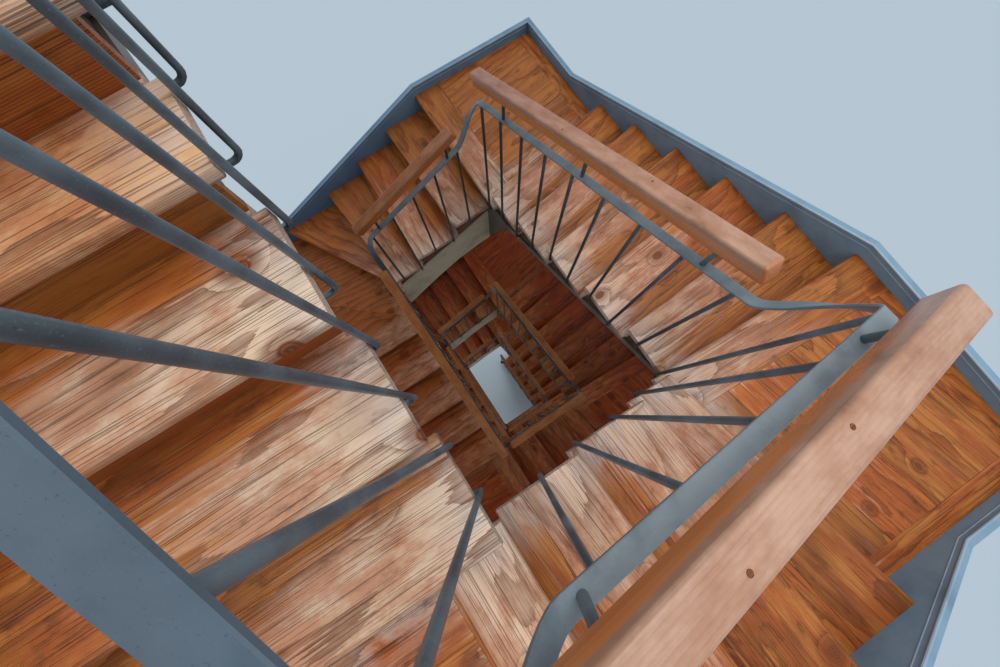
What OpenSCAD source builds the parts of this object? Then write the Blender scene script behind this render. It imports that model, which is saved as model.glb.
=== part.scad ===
// Four-turn timber winding staircase round an open rectangular well.
// Balanced (dancing) treads climb clockwise seen from above, with iron rods,
// a flat iron bar with raised necks at the corners and wooden rail lengths.
// Millimetres. Z up, Y outward from the right-hand wall string's back face,
// X along the right-hand flight in its climbing direction.

/* [Steps] */
// height of one step
riser = 165; // [150:1:180]
// thickness of a tread board
tread_t = 42; // [32:1:50]
// overhang of a tread past its riser board
nosing = 30; // [22:1:36]
// thickness of a riser board
riser_t = 22; // [16:1:28]

/* [Well] */
// length of the well, along the right and left flights
well_l = 1660; // [1500:10:2000]
// width of the well, along the foot and head flights
well_w = 925; // [860:5:1200]

/* [Flight widths] */
// width of the right flight, well edge to wall string
width_right = 1065; // [950:5:1250]
// width of the foot flight
width_foot = 1180; // [1000:5:1300]
// width of the left flight
width_left = 1050; // [950:5:1250]
// width of the head flight
width_head = 1030; // [950:5:1250]

/* [Strings] */
// thickness of the cut string on the well side
string_t = 40; // [30:1:50]
// overhang of the tread ends past the cut string
string_over = 30; // [24:1:40]
// depth of the cut string below the pitch line
string_drop = 300; // [270:5:340]
// thickness of the wall string
wall_t = 30; // [24:1:45]
// height of the wall string's top edge above the pitch line
skirt = 95; // [60:5:150]
// depth of the wall string below the pitch line
wall_drop = 190; // [150:5:260]
// thickness of the painted fascia on the cut string
fascia_t = 10; // [6:1:14]

/* [Balustrade] */
// diameter of an iron rod
rod_d = 16; // [12:1:20]
// radius of the hook at a rod's foot
hook_r = 24; // [20:1:30]
// width of the flat iron bar
bar_w = 36; // [30:1:45]
// thickness of the flat iron bar
bar_t = 8; // [6:1:12]
// height of the bar above the pitch line
bar_rise = 900; // [850:5:1000]
// radius of the bar's corner bend in plan
bend_r = 60; // [50:1:66]
// length of the raised neck before a corner
neck_in = 140; // [110:5:160]
// length of the raised neck after a corner
neck_out = 56; // [55:1:80]

/* [Handrail] */
// width of the wooden rail
rail_w = 62; // [50:1:70]
// depth of the wooden rail
rail_h = 65; // [55:1:80]
// clear gap between the bar and the rail
rail_gap = 95; // [80:5:120]
// distance a rail stops short of the next corner
rail_stop = 150; // [120:5:220]

/* [Top landing] */
// height of the flat bar above the top landing
guard_rise = 995; // [900:5:1100]
// depth of the trimmer under the landing edge
trimmer_d = 180; // [140:5:240]
// depth of a bearer under a corner landing
bearer_d = 110; // [90:5:140]

/* [Hidden] */
storeys = 4;
steps = 20;
rise = steps * riser;
x_head = 85;
x_foot = x_head + well_l;
y_right = -wall_t - width_right;
y_left = y_right - well_w;
x_head_wall = x_head - width_head;
x_foot_wall = x_foot + width_foot;
y_left_wall = y_left - width_left;
band = string_over + string_t;
back = nosing + riser_t;
// extra set-back of the cut string under the tread ends, side by side
set_back = [0, 45, 45, 0];
function over(i) = string_over + set_back[i % 4];
function past(i) = over(i) + string_t;
L = [well_l, well_w, well_l, well_w];
W = [width_right, width_foot, width_left, width_head];
corner = [[x_head, y_right], [x_foot, y_right], [x_foot, y_left], [x_head, y_left]];
along = [[1, 0], [0, -1], [-1, 0], [0, 1]];
outward = [[0, 1], [1, 0], [0, -1], [-1, 0]];
// share of the well side at which each nosing starts, and of its wall end
right_in = [0.057, 0.253, 0.452, 0.651, 0.848, 1];
right_out = [-0.051, 0.16, 0.374, 0.592, 0.811, 1.027];
foot_in = [0.092, 0.308, 0.67, 1];
foot_out = [-0.173, 0.227, 0.589, 1];
left_in = [-0.035, 0.158, 0.348, 0.56, 0.77];
left_top = [-0.013, 0.169, 0.34, 0.496, 0.607];
head_in = [0, 0.275, 0.674, 1];
head_out = [-0.108, 0.29, 0.65, 1];
// height of the bar at both ends of each side, in steps above the storey
bar_level = [[0.7, 5.72], [7.6, 9.07], [10.3, 15.3], [16.6, 19.45]];
$fn = 32;

function pt(i, s, o) = corner[i] + s * along[i] + o * outward[i];
function unit(v) = v / norm(v);
function normal_of(p, q) = [unit(q - p)[1], -unit(q - p)[0]];
function side_of(j) = j <= 6 ? 0 : j <= 10 ? 1 : j <= 15 ? 2 : j <= 20 ? 3 : 0;
function left_list(t) = t == storeys ? left_top : left_in;
function well_share(j, t) = j <= 6 ? right_in[j - 1] : j <= 10 ? foot_in[j - 7]
  : j <= 15 ? left_list(t)[j - 11] : j == 16 ? 0 : j <= 20 ? head_in[j - 17] : right_in[0];
function wall_share(j, t) = j <= 6 ? right_out[j - 1] : j <= 10 ? foot_out[j - 7]
  : j <= 15 ? left_list(t)[j - 11] : j <= 20 ? head_out[max(j - 17, 0)] : right_out[0];
function in_s(j, t) = well_share(j, t) * L[side_of(j)];
function out_s(j, t) = j == 16 ? -0.57 * width_left : wall_share(j, t) * L[side_of(j)];
function p_in(j, t) = pt(side_of(j), in_s(j, t), 0);
function p_out(j, t) = pt(side_of(j), out_s(j, t), W[side_of(j)]);
// place where the riser face meets the cut string
function skew(j, t) = (out_s(j, t) - in_s(j, t)) / W[side_of(j)];
function cut_s(j, t) = let (i = side_of(j), k = skew(j, t))
  set_back[i] == 0 ? in_s(j, t) + nosing + k * band / 2
  : in_s(j, t) + back * sqrt(1 + k * k) + k * (k < 0 ? over(i) : past(i));
function level(t, j) = (t - 1) * rise + j * riser;

module side(i) {
  translate([corner[i][0], corner[i][1], 0]) rotate([0, 0, -90 * i]) children();
}

// side-view outline (along, up) given a thickness from o0 to o1
module upright(o0, o1) {
  translate([0, o1, 0]) rotate([90, 0, 0]) linear_extrude(o1 - o0) children();
}

module strip_2d(i, s0, s1, o0, o1) {
  polygon([pt(i, s0, o0), pt(i, s1, o0), pt(i, s1, o1), pt(i, s0, o1)]);
}

// everything on the lower side of the line p to q
module behind(p, q) {
  n = normal_of(p, q);
  translate(p) rotate(atan2(n[1], n[0])) translate([-9000, -9000]) square([9000, 18000]);
}

// plan of a tread up to the back of the next riser
module tread_plan(j, t) {
  last = t == storeys && j == steps;
  p2 = last ? pt(0, 0, 0) : p_in(j + 1, t);
  q2 = last ? pt(0, 0, W[0]) : p_out(j + 1, t);
  n2 = last ? [0, 0] : normal_of(p2, q2) * back;
  turn = j == 6 || j == 10 || j == 15 || j == 20;
  i = side_of(j);
  difference() {
    intersection() {
      translate([x_head_wall, y_left_wall]) square([x_foot_wall - x_head_wall, -wall_t - y_left_wall]);
      behind(p2 + n2, q2 + n2);
      union() {
        strip_2d(i, -W[(i + 3) % 4], L[i] + (turn ? 0 : 100), 0, W[i]);
        if (turn) strip_2d(i, L[i] - 1, L[i] + W[(i + 1) % 4], -400, W[i]);
      }
    }
    translate([x_head, y_left]) square([well_l, well_w]);
    if (!last) next_string_2d(j, t, side_of(j + 1));
  }
}

// plan of the higher part of the cut string, which a tread stops against
module next_string_2d(j, t, k) {
  crossing = j + 1 == 6 || j + 1 == 10 || j + 1 == 20;
  z = crossing ? (k + 1) % 4 : k;
  s = crossing ? -past(k) : j + 1 == 16 ? -past(2) : cut_s(j + 1, t);
  strip_2d(z, s, s + 400, over(z), past(z));
  strip_2d(k, j + 1 == 16 ? 0 : in_s(j + 1, t) + nosing - 12, in_s(j + 1, t) + 400, -40, string_over);
}

// tread section: rounded front edge at zero, running back along +Y
module nosing_2d() {
  r = tread_t * 0.36;
  translate([r, 0]) square([2600, tread_t]);
  translate([0, r]) square([r + 1, tread_t - 2 * r]);
  translate([r, r]) circle(r = r);
  translate([r, tread_t - r]) circle(r = r);
}

module tread(j, t) {
  p = p_in(j, t);
  q = p_out(j, t);
  d = unit(q - p);
  z = level(t, j) - tread_t;
  intersection() {
    translate([0, 0, z]) linear_extrude(tread_t) tread_plan(j, t);
    translate([p[0], p[1], z]) rotate([0, 0, atan2(d[1], d[0]) - 90])
      translate([0, 2200, 0]) rotate([90, 0, 0]) linear_extrude(4400) nosing_2d();
  }
}

module treads(a, b, t) {
  color([0.72, 0.47, 0.25]) for (j = [a:b]) tread(j, t);
}

module riser_board(j, t) {
  p = p_in(j, t);
  q = p_out(j, t);
  d = unit(q - p);
  n = normal_of(p, q);
  i = side_of(j);
  translate([0, 0, level(t, j - 1)]) linear_extrude(riser - tread_t)
    intersection() {
      polygon([p - 80 * d + n * nosing, q + 90 * d + n * nosing, q + 90 * d + n * back, p - 80 * d + n * back]);
      strip_2d(i, -W[i], L[i] + 2 * W[i], j == 6 || set_back[i] > 0 ? string_over : band, W[i]);
    }
}

module risers(t) {
  color([0.45, 0.25, 0.11]) for (j = [1:steps]) riser_board(j, t);
}

// cut string of one side and storey: stepped top, straight lower edge
first = [1, 7, 11, 17];
last_step = [5, 9, 15, 19];

function stair_top(i, t, j, b) = j > b ? [] : concat(
  [[cut_s(j, t), level(t, j - 1) - tread_t], [cut_s(j, t), level(t, j) - tread_t]],
  stair_top(i, t, j + 1, b));

// lower edge of the cut string: distance along the side, steps above the storey
drop = string_drop / riser;
function low_edge(i, t) = let (s0 = -past(i + 3), s1 = L[i] + over(i + 1))
  i == 0 && t == 1 ? [[cut_s(1, 1), 0.3 + 5.9 * cut_s(1, 1) / L[0] - drop], [s1, 6.2 - drop]]
  : i == 0 ? [[s0, -5.4], [0, -4.35], [250, -0.63], [s1, 6.2 - drop]]
  : i == 1 ? [[s0, 6.2 - drop], [s1, 10.2 - drop]]
  : i == 2 ? (t == storeys ? [[s0, 10.75 - drop], [1030, 14.65 - drop], [s1, 16.2 - drop]]
    : [[s0, 10.2 - drop], [s1, 16.2 - drop]])
  : [[s0, 12.45], [370, 14.2], [600, 14.85], [830, 15.2], [s1, 15.3]];
function placed(edge, t, lift) = [for (q = edge) [q[0], level(t, q[1]) + lift]];
function turned(edge) = [for (n = [len(edge) - 1:-1:0]) edge[n]];

module string_outline(i, t) {
  a = first[i];
  b = last_step[i];
  low = placed(low_edge(i, t), t, 0);
  top = stair_top(i, t, a, b);
  polygon(concat(
    turned(low),
    i == 0 && t == 1 ? [] : [[low[0][0], level(t, a - 1) - tread_t]],
    i == 0 && t == 1 ? [for (n = [1:len(top) - 1]) top[n]] : top,
    [[low[len(low) - 1][0], level(t, b) - tread_t]]));
}

module string_side(i) {
  color([0.3, 0.18, 0.1]) for (t = [1:storeys])
    side(i) upright(over(i), past(i)) intersection() {
      string_outline(i, t);
      translate([-500, 0]) square([L[i] + 2000, storeys * rise + 500]);
    }
}

// painted fascia on the lower part of the cut string's face, deep along the head
// flight and round the corner after it
strip_h = 53;
function face_top(i, t) = let (low = low_edge(i, t))
  i == 3 ? [[low[0][0], 15.45], [low[4][0], 18.3]]
  : i == 0 && t > 1 ? [[low[0][0], -1.9], [90, -0.4], [250, -0.31], [low[3][0], low[3][1] + strip_h / riser]]
  : [for (q = low) [q[0], q[1] + strip_h / riser]];

module fascia_side(i) {
  color([0.66, 0.64, 0.57]) for (t = [1:storeys])
    side(i) upright(over(i) - fascia_t, over(i)) intersection() {
      polygon(concat(placed(low_edge(i, t), t, -6), turned(placed(face_top(i, t), t, 0))));
      s0 = i == 0 && t == 1 ? cut_s(1, t) + 4 : -over(i + 3);
      translate([s0, 0]) square([L[i] + over(i + 1) - fascia_t - s0, storeys * rise + 500]);
    }
}

// wall string: flat along the landings, raking along the flight
module wall_outline(i, t) {
  a = first[i] == 17 ? 16 : first[i];
  b = [6, 10, 16, 20][i];
  lo = [0, 6, 10, 15][i];
  going = (out_s(b == 16 ? 15 : b, t) - out_s(a == 16 ? 17 : a, t)) / ((b == 16 ? 15 : b) - (a == 16 ? 17 : a));
  sa = (a == 16 ? out_s(16, t) : out_s(a, t)) - going * (a - lo);
  sb = b == 16 ? out_s(15, t) : out_s(b, t);
  end = L[i] + W[(i + 1) % 4];
  hb = b == 16 ? 15 : b;
  s0 = i == 0 && t == 1 ? -260 : -W[(i + 3) % 4] - wall_t;
  s1 = max(s0 + 1, sa);
  polygon([
    [s0, level(t, lo) - wall_drop], [s0, level(t, lo) + skirt],
    [s1, level(t, lo) + skirt], [sb, level(t, hb) + skirt],
    [end, level(t, hb) + skirt], [end, level(t, hb) - wall_drop],
    [sb + 60, level(t, hb) - wall_drop], [s1 + 60, level(t, lo) - wall_drop]]);
}

module wall_string_side(i) {
  color([0.31, 0.38, 0.45]) for (t = [1:storeys])
    side(i) upright(W[i], W[i] + wall_t) intersection() {
      wall_outline(i, t);
      translate([-2000, 0]) square([L[i] + 6000, storeys * rise + 500]);
    }
}

// flat bar: height on a side as a straight line, eased across each corner
rod_out = rod_d / 2 + 3;
arc = bend_r * PI / 2;
turn_s = rod_out + bend_r;

function line_z(i, t, s) = level(t, bar_level[i][0] + (bar_level[i][1] - bar_level[i][0]) * s / L[i]) + bar_rise;
function eased(x) = x <= 0 ? 0 : x >= 1 ? 1 : x * x * (3 - 2 * x);
// bar height at path distance u from the middle of the bend that ends side i
neck_short = [40, 50, 0, 0];
function bend_z(i, t, u) =
  let (n = neck_in - neck_short[i], e = eased((u + n) / (n + neck_out)))
  line_z(i, t, L[i] - turn_s + min(u + arc / 2, 0)) * (1 - e)
  + line_z((i + 1) % 4, i == 3 ? t + 1 : t, turn_s + max(u - arc / 2, 0)) * e;
// bar height at distance s along side i
function bar_z(i, t, s) =
  i == 3 && t == storeys && s > L[i] - turn_s - neck_in ? last_z(s) :
  s < turn_s + neck_out && !(i == 0 && t == 1)
    ? bend_z((i + 3) % 4, i == 0 ? t - 1 : t, max(s - turn_s, 0) + arc / 2)
    : s > L[i] - turn_s - neck_in && !(i == 3 && t == storeys)
      ? bend_z(i, t, min(s - (L[i] - turn_s), 0) - arc / 2)
      : line_z(i, t, s);
guard_z = level(storeys, steps) + guard_rise;
// last neck of all, rising straight on to the landing guard
function last_z(s) =
  let (e = eased((s - (L[3] - neck_in - 60)) / (neck_in + 60)))
  line_z(3, storeys, s) * (1 - e) + guard_z * e;
function slope_of(dz, dx) = atan2(dz, dx);

in_steps = [0, 0.34, 0.67, 1];
function start_stations(i, t) = i == 0 && t == 1
  ? [[44, -rod_out, line_z(0, 1, 44), 0, slope_of(line_z(0, 1, 60) - line_z(0, 1, 40), 20)]]
  : let (k = (i + 3) % 4, v = i == 0 ? t - 1 : t)
  concat(
    [for (f = in_steps) let (u = f * arc / 2, h = 45 * (1 - f))
      [turn_s - bend_r * sin(h), -turn_s + bend_r * cos(h), bend_z(k, v, u), h,
        slope_of(bend_z(k, v, u + 2) - bend_z(k, v, u - 2), 4)]],
    [for (f = [0.5, 1]) let (u = arc / 2 + f * (neck_out - arc / 2))
      [turn_s + u - arc / 2, -rod_out, bend_z(k, v, u), 0,
        slope_of(bend_z(k, v, u + 2) - bend_z(k, v, u - 2), 4)]]);
function end_stations(i, t) = i == 3 && t == storeys
  ? [for (f = [0, 0.2, 0.4, 0.6, 0.8, 1]) let (s = L[3] - (neck_in + 60) * (1 - f))
      [s, -rod_out, last_z(s), 0, slope_of(last_z(s + 2) - last_z(s - 2), 4)]]
  : concat(
    [for (f = [0, 0.25, 0.5, 0.75]) let (u = (f - 1) * (neck_in - neck_short[i]) - f * arc / 2)
      [L[i] - turn_s + u + arc / 2, -rod_out, bend_z(i, t, u), 0,
        slope_of(bend_z(i, t, u + 2) - bend_z(i, t, u - 2), 4)]],
    [for (f = in_steps) let (u = -(1 - f) * arc / 2, h = -45 * f)
      [L[i] - turn_s - bend_r * sin(h), -turn_s + bend_r * cos(h), bend_z(i, t, u), h,
        slope_of(bend_z(i, t, u + 2) - bend_z(i, t, u - 2), 4)]]);

// four corners of the bar's section at one station: place, heading, slope
function ring(st) =
  let (c = [st[0], st[1], st[2]], g = st[3], a = st[4],
       w = [-sin(g), cos(g), 0] * bar_w / 2,
       h = [-cos(g) * sin(a), -sin(g) * sin(a), cos(a)] * bar_t / 2)
  [c - w - h, c + w - h, c + w + h, c - w + h];

module ribbon(st) {
  n = len(st);
  pts = [for (k = [0:n - 1]) for (p = ring(st[k])) p];
  polyhedron(points = pts, faces = concat(
    [[0, 1, 2], [0, 2, 3]],
    [for (k = [0:n - 2]) for (m = [0:3]) for (f = [
      [4 * k + m, 4 * k + 4 + m, 4 * k + (m + 1) % 4],
      [4 * k + (m + 1) % 4, 4 * k + 4 + m, 4 * k + 4 + (m + 1) % 4]]) f],
    [[4 * n - 4, 4 * n - 2, 4 * n - 3], [4 * n - 4, 4 * n - 1, 4 * n - 2]]));
}

// iron rod standing clear of the tread end, hooked back to the cut string
// underside of a tread less the room that a hook needs
function under(z_tread) = z_tread - tread_t - 17 - rod_d / 2;

module rod(s, z_top, z_hook, reach) {
  translate([s, -rod_out, z_hook + hook_r]) cylinder(d = rod_d, h = z_top - z_hook - hook_r);
  translate([s, -rod_out + hook_r, z_hook + hook_r]) rotate([90, 0, -90])
    rotate_extrude(angle = -90) translate([hook_r, 0]) circle(d = rod_d);
  translate([s, -rod_out + hook_r, z_hook]) rotate([-90, 0, 0])
    cylinder(d = rod_d, h = reach + rod_out - hook_r);
}

function first_of(i) = i == 0 ? 1 : i == 1 ? 7 : i == 2 ? 11 : 17;
// a rod just behind a nosing hooks under the step below it
behind = [34, 34, 60, 34];
function count_in(i, t, s, j, b) = j > b ? b : in_s(j, t) + behind[i] > s ? j - 1 : count_in(i, t, s, j + 1, b);
// level of the tread end beside a rod
function foot_z(i, t, s) = level(t, count_in(i, t, s, first_of(i), last_step[i]));
rods_in = [9, 5, 10, 5];
rod_first = [2, 2, 35, 2];
rod_last = [0, 0, 80, 0];
// the left flight's hooks follow its slope, as its rods are all of one length
function hook_z(i, t, s) = min(under(foot_z(i, t, s)), i == 2 ? line_z(i, t, s) - bar_rise - 54 : 1e6);
// the last rod stands before the neck
function rod_s(i, k) = let (a = turn_s + rod_first[i], b = L[i] - turn_s - neck_in + arc / 2 - rod_last[i])
  a + k * (b - a) / (rods_in[i] - 1);
stub_at = [[0.167, 0.5, 0.827], [0.18, 0.85], [0.12, 0.5, 0.8], [0.15, 0.75]];

// the foot rail lies closer to the bar at its lower end and runs on past the neck
rail_dip = [0, 41, 0, 0];
rail_start = [25, 70, -15, 25];
rail_more = [0, 90, 0, 0];
function rail_z(i, t, s) = line_z(i, t, s) + rail_gap + bar_t / 2 - rail_dip[i] * (1 - s / L[i]);

module rail_block(i, t, extra) {
  s0 = rail_start[i];
  s1 = L[i] - rail_stop + rail_more[i];
  a = atan2(rail_z(i, t, s1) - rail_z(i, t, s0), s1 - s0);
  translate([s0, -rod_out + 18, rail_z(i, t, s0)]) rotate([0, -a, 0])
    rotate([90, 0, 90]) translate([0, 0, -extra]) linear_extrude((s1 - s0) / cos(a) + 2 * extra)
      rail_2d();
}

module rail_2d() {
  r = 8;
  translate([-rail_w / 2 + r, 0]) square([rail_w - 2 * r, rail_h]);
  translate([-rail_w / 2, r]) square([rail_w, rail_h - 2 * r]);
  for (x = [-1, 1]) for (y = [r, rail_h - r]) translate([x * (rail_w / 2 - r), y]) circle(r = r);
}

module stub(i, t, s) {
  difference() {
    translate([s, -rod_out, bar_z(i, t, s) + 1.5]) rotate([0, 0, 37]) cylinder(d = rod_d - 2, h = rail_gap + 35 - rail_dip[i]);
    rail_block(i, t, 60);
  }
}

module panel(i, t) {
  union() {
    ribbon(concat(start_stations(i, t), end_stations(i, t)));
    for (k = [(i == 0 && t == 1 ? 1 : 0):rods_in[i] - 1])
      rod(rod_s(i, k), bar_z(i, t, rod_s(i, k)) - 1.5, hook_z(i, t, rod_s(i, k)), over(i));
    for (f = stub_at[i]) stub(i, t, f * L[i]);
  }
}

module balustrade_side(i) {
  color([0.3, 0.34, 0.37]) for (t = [1:storeys]) side(i) panel(i, t);
}

module handrail_side(i) {
  color([0.62, 0.38, 0.22]) for (t = [1:storeys]) side(i) rail_block(i, t, 0);
}

// diagonal bearer under each corner landing, notched over the cut strings
module bearer(i, z, last) {
  p = pt(i, L[i] + band, band);
  q = pt(i, L[i] + W[(i + 1) % 4], W[i]);
  d = unit(q - p);
  n = [-d[1], d[0]] * 30;
  translate([0, 0, z - bearer_d]) linear_extrude(bearer_d) difference() {
    intersection() {
      polygon([p - 90 * d - n, q + 90 * d - n, q + 90 * d + n, p - 90 * d + n]);
      strip_2d(i, L[i] + back, L[i] + W[(i + 1) % 4], last ? band : 0, W[i]);
    }
    translate([x_head - band, y_left - past(2)]) square([well_l + band + past(1), well_w + band + past(2)]);
  }
}

module corner_bearers() {
  color([0.42, 0.27, 0.15]) for (t = [1:storeys]) for (i = [0:3])
    bearer(i, level(t, [6, 10, 15, 20][i]) - tread_t, t == storeys && i == 3);
}

module landing_trimmer() {
  z = level(storeys, steps) - tread_t;
  color([0.42, 0.27, 0.15]) side(3)
    translate([L[3] + string_over, string_over, z - trimmer_d]) cube([W[0] - string_over, string_t, trimmer_d]);
}

guard_rods = 5;

module landing_guard() {
  color([0.3, 0.34, 0.37]) side(3) union() {
    translate([L[3], -rod_out - bar_w / 2, guard_z - bar_t / 2]) cube([W[0], bar_w, bar_t]);
    for (k = [0:guard_rods]) 
      rod(L[3] + 90 + k * (W[0] - 180) / guard_rods, guard_z, under(level(storeys, steps)), string_over);
    for (f = [0.2, 0.75]) translate([L[3] + f * W[0], -rod_out, guard_z])
      cylinder(d = rod_d - 2, h = rail_gap + bar_t / 2);
  }
}

module guard_rail() {
  color([0.62, 0.38, 0.22]) side(3)
    translate([L[3] + 30, -rod_out + 18, guard_z + rail_gap + bar_t / 2])
      rotate([90, 0, 90]) linear_extrude(W[0] - 60) rail_2d();
}

module start_post() {
  color([0.3, 0.34, 0.37]) side(0) translate([66, -rod_out, 0]) union() {
    cylinder(d = 90, h = 8);
    cylinder(d = 26, h = line_z(0, 1, 66) - bar_t / 2 - 13 * 0.52 - 1);
  }
}

module treads_right_1() {
  treads(1, 6, 1);
}

module treads_right_2() {
  treads(1, 6, 2);
}

module treads_right_3() {
  treads(1, 6, 3);
}

module treads_right_4() {
  treads(1, 6, 4);
}

module treads_foot_1() {
  treads(7, 10, 1);
}

module treads_foot_2() {
  treads(7, 10, 2);
}

module treads_foot_3() {
  treads(7, 10, 3);
}

module treads_foot_4() {
  treads(7, 10, 4);
}

module treads_left_1() {
  treads(11, 15, 1);
}

module treads_left_2() {
  treads(11, 15, 2);
}

module treads_left_3() {
  treads(11, 15, 3);
}

module treads_left_4() {
  treads(11, 15, 4);
}

module treads_head_1() {
  treads(16, 20, 1);
}

module treads_head_2() {
  treads(16, 20, 2);
}

module treads_head_3() {
  treads(16, 20, 3);
}

module treads_head_4() {
  treads(16, 20, 4);
}

module risers_1() {
  risers(1);
}

module risers_2() {
  risers(2);
}

module risers_3() {
  risers(3);
}

module risers_4() {
  risers(4);
}

module string_right() {
  string_side(0);
}

module string_foot() {
  string_side(1);
}

module string_left() {
  string_side(2);
}

module string_head() {
  string_side(3);
}

module fascia_right() {
  fascia_side(0);
}

module fascia_foot() {
  fascia_side(1);
}

module fascia_left() {
  fascia_side(2);
}

module fascia_head() {
  fascia_side(3);
}

module wall_string_right() {
  wall_string_side(0);
}

module wall_string_foot() {
  wall_string_side(1);
}

module wall_string_left() {
  wall_string_side(2);
}

module wall_string_head() {
  wall_string_side(3);
}

module balustrade_right() {
  balustrade_side(0);
}

module balustrade_foot() {
  balustrade_side(1);
}

module balustrade_left() {
  balustrade_side(2);
}

module balustrade_head() {
  balustrade_side(3);
}

module handrail_right() {
  handrail_side(0);
}

module handrail_foot() {
  handrail_side(1);
}

module handrail_left() {
  handrail_side(2);
}

module handrail_head() {
  handrail_side(3);
}

treads_right_1();
treads_right_2();
treads_right_3();
treads_right_4();
treads_foot_1();
treads_foot_2();
treads_foot_3();
treads_foot_4();
treads_left_1();
treads_left_2();
treads_left_3();
treads_left_4();
treads_head_1();
treads_head_2();
treads_head_3();
treads_head_4();
risers_1();
risers_2();
risers_3();
risers_4();
string_right();
string_foot();
string_left();
string_head();
fascia_right();
fascia_foot();
fascia_left();
fascia_head();
wall_string_right();
wall_string_foot();
wall_string_left();
wall_string_head();
balustrade_right();
balustrade_foot();
balustrade_left();
balustrade_head();
handrail_right();
handrail_foot();
handrail_left();
handrail_head();
corner_bearers();
landing_trimmer();
landing_guard();
guard_rail();
start_post();
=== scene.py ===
"""Visual model of a timber winding staircase that turns four times round an open rectangular well.

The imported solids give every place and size. This file dresses them: boards with knots and worn
ends, forged iron rods and flat bar, rounded wooden rails, painted skirting strings and fascia.
"""
import logging
import math
import random
from bisect import bisect_left
from collections.abc import Callable
from dataclasses import dataclass, field
from enum import Enum
from functools import partial

import bmesh
import bpy
from bmesh.types import BMEdge, BMesh, BMFace, BMVert
from mathutils import Matrix, Vector


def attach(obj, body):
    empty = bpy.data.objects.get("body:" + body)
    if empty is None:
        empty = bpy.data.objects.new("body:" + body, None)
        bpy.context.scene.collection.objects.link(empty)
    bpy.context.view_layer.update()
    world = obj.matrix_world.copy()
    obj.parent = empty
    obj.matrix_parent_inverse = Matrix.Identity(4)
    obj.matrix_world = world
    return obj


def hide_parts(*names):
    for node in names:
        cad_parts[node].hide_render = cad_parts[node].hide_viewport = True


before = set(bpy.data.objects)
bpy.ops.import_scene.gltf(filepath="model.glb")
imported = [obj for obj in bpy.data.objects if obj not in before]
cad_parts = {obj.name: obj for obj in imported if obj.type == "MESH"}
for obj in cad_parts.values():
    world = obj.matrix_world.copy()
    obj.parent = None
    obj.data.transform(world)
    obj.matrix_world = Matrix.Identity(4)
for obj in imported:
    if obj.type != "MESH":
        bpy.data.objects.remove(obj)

log = logging.getLogger("staircase")
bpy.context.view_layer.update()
MM = 0.001
UP = Vector((0, 0, 1))
# the climbing directions of the four flights
CLIMBS = (Vector((1, 0, 0)), Vector((0, -1, 0)), Vector((-1, 0, 0)), Vector((0, 1, 0)))


class Side(Enum):
    """The four flights, in climbing order, clockwise seen from above."""

    RIGHT = 0
    FOOT = 1
    LEFT = 2
    HEAD = 3

    @property
    def along(self) -> Vector:
        """The climbing direction of the flight."""
        return CLIMBS[self.value]

    @property
    def outward(self) -> Vector:
        """The direction from the well to the wall."""
        return CLIMBS[self.value - 1]

    @property
    def label(self) -> str:
        """The flight's name in lower case."""
        return self.name.lower()


@dataclass(frozen=True)
class StairPlan:
    """Setting out shared by every sub-assembly, in metres and in steps.

    A tuple of four has a value for each flight, and a share runs from a flight's first corner to its
    next. Step 16's nosing runs on into the corner of the left flight.
    """

    storeys: int = 4
    steps: int = 20
    riser: float = 0.165
    tread: float = 0.042
    lap: float = 0.052
    string_over: tuple = (0.030, 0.075, 0.075, 0.030)
    spans: tuple = (1.660, 0.925, 1.660, 0.925)
    widths: tuple = (1.065, 1.180, 1.050, 1.030)
    corners: tuple = ((0.085, -1.095), (1.745, -1.095), (1.745, -2.020), (0.085, -2.020))
    last_steps: tuple = (6, 10, 15, 20)
    diagonal_step: int = 16
    diagonal_reach: float = -0.57
    well_share: tuple = (0.057, 0.253, 0.452, 0.651, 0.848, 1, 0.092, 0.308, 0.67, 1,
                         -0.035, 0.158, 0.348, 0.56, 0.77, 0, 0, 0.275, 0.674, 1)
    wall_share: tuple = (-0.051, 0.16, 0.374, 0.592, 0.811, 1.027, -0.173, 0.227, 0.589, 1,
                         -0.035, 0.158, 0.348, 0.56, 0.77, 0, -0.108, 0.29, 0.65, 1)
    top_left_share: tuple = (-0.013, 0.169, 0.34, 0.496, 0.607)

    def side_of(self, step: int) -> Side:
        """The flight that a step's nosing starts from."""
        return Side(bisect_left(self.last_steps, step) % len(Side))

    def point(self, side: Side, s: float, o: float, z: float = 0.0) -> Vector:
        """A point s along a flight from its first corner and o outward of the well edge."""
        x, y = self.corners[side.value]
        return Vector((x, y, z)) + side.along * s + side.outward * o

    def shares(self, step: int, turn: int) -> tuple:
        """The shares of the flight at which a nosing meets the well edge and the wall.

        Args:
            step: The step in its turn, from 1.
            turn: The storey, from 1.

        Returns:
            The two shares.
        """
        if turn == self.storeys and self.side_of(step) is Side.LEFT:
            return (self.top_left_share[step - self.last_steps[1] - 1],) * 2
        return self.well_share[step - 1], self.wall_share[step - 1]

    def nosing_line(self, step: int, turn: int) -> tuple:
        """The nosing's place at the well edge and at the wall, in plan.

        Args:
            step: The step in its turn, from 1.
            turn: The storey, from 1.

        Returns:
            The two places.
        """
        side = self.side_of(step)
        span, width = self.spans[side.value], self.widths[side.value]
        inner, outer = self.shares(step, turn)
        diagonal = step == self.diagonal_step
        reach = self.diagonal_reach * self.widths[Side.LEFT.value] if diagonal else outer * span
        return self.point(side, inner * span, 0), self.point(side, reach, width)

    def level(self, turn: int, step: float) -> float:
        """The height of a step's upper face, with turns and steps counted from 1."""
        return ((turn - 1) * self.steps + step) * self.riser


PLAN = StairPlan()


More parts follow.
